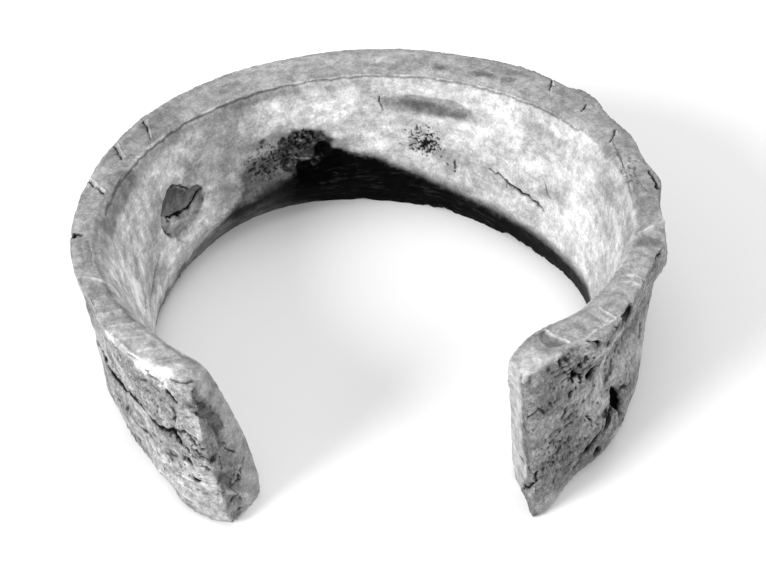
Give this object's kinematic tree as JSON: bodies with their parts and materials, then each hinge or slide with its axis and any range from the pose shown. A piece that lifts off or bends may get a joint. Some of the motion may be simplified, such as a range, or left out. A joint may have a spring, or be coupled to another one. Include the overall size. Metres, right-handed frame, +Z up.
{
  "type": "bracelet",
  "caption": "Open cuff bracelet carved from one piece, with a flat rim cut across, a flared bore, worn ends and a cracked, flaking outer face.",
  "frame": {"origin": "middle of the outline at the level of the lower rim, which it lies on", "axes": "+Z up along the axis of the bore, +Y towards the closed back, so the gap between the ends faces -Y"},
  "size_m": [0.071, 0.0668, 0.0215],
  "materials": {
    "weathered_ivory": "matt, mottled grey, smooth in the bore and crumbly outside"
  },
  "bodies": {
    "root": {"bracelet": "weathered_ivory"}
  },
  "joints": []
}
